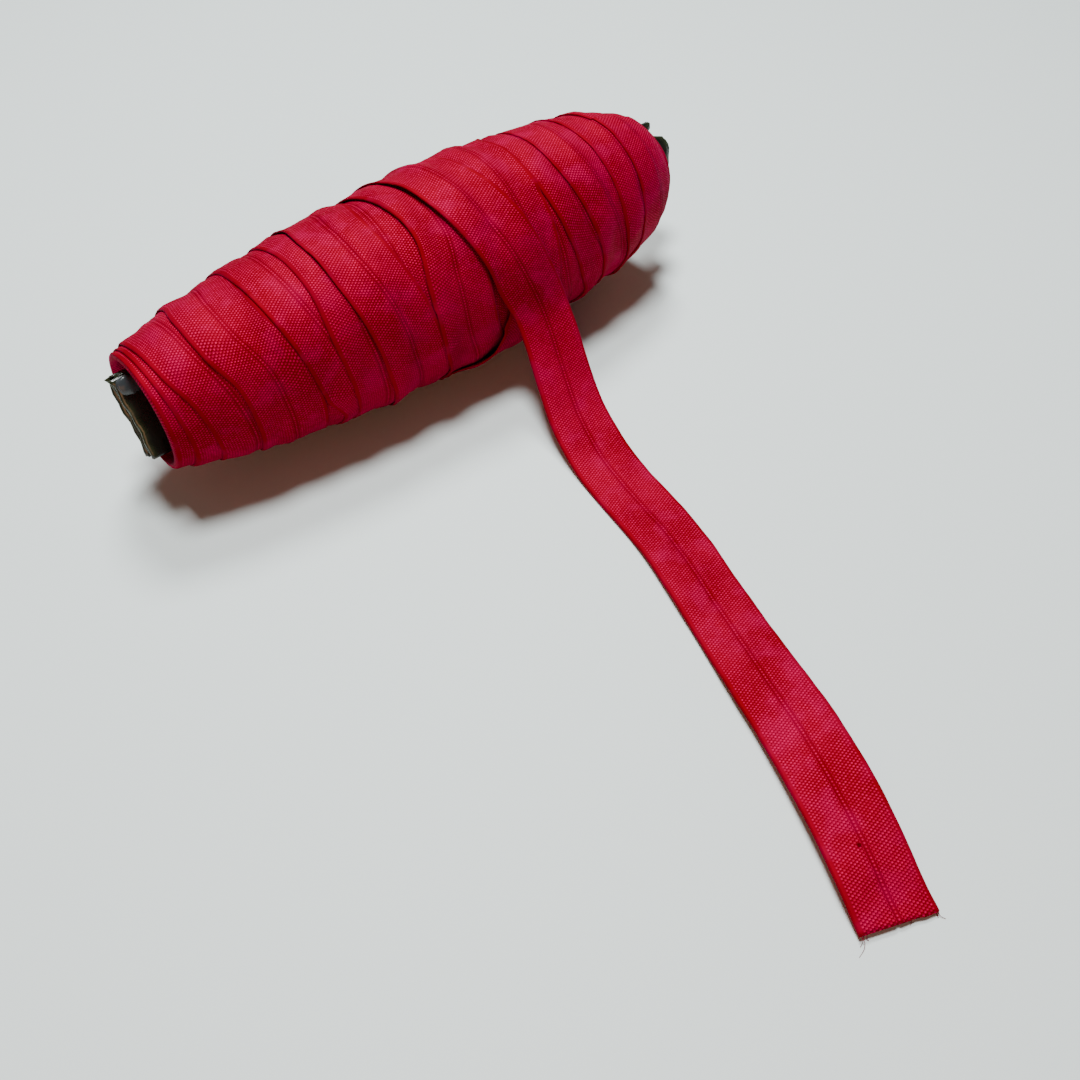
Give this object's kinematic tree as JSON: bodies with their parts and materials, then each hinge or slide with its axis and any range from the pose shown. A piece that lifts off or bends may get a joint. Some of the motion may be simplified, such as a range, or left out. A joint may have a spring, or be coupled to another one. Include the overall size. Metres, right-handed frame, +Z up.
{
  "type": "roll of fold-over elastic",
  "caption": "Cigar-shaped roll of red fold-over elastic wound on a folded strip of dark film, its loose end laid out flat in front.",
  "frame": {"origin": "on the table under the middle of the roll, on its flat spot", "axes": "+X along the roll from its open end to its closed end, +Y to the back of the roll, away from the loose end, +Z up"},
  "size_m": [0.1635, 0.2067, 0.0524],
  "materials": {
    "ribbon": "satin weave, nylon and elastane",
    "film": "glossy dark film, olive where it is thin"
  },
  "bodies": {
    "root": {"winding": "ribbon", "core": "film", "loose_end": "ribbon"}
  },
  "joints": []
}
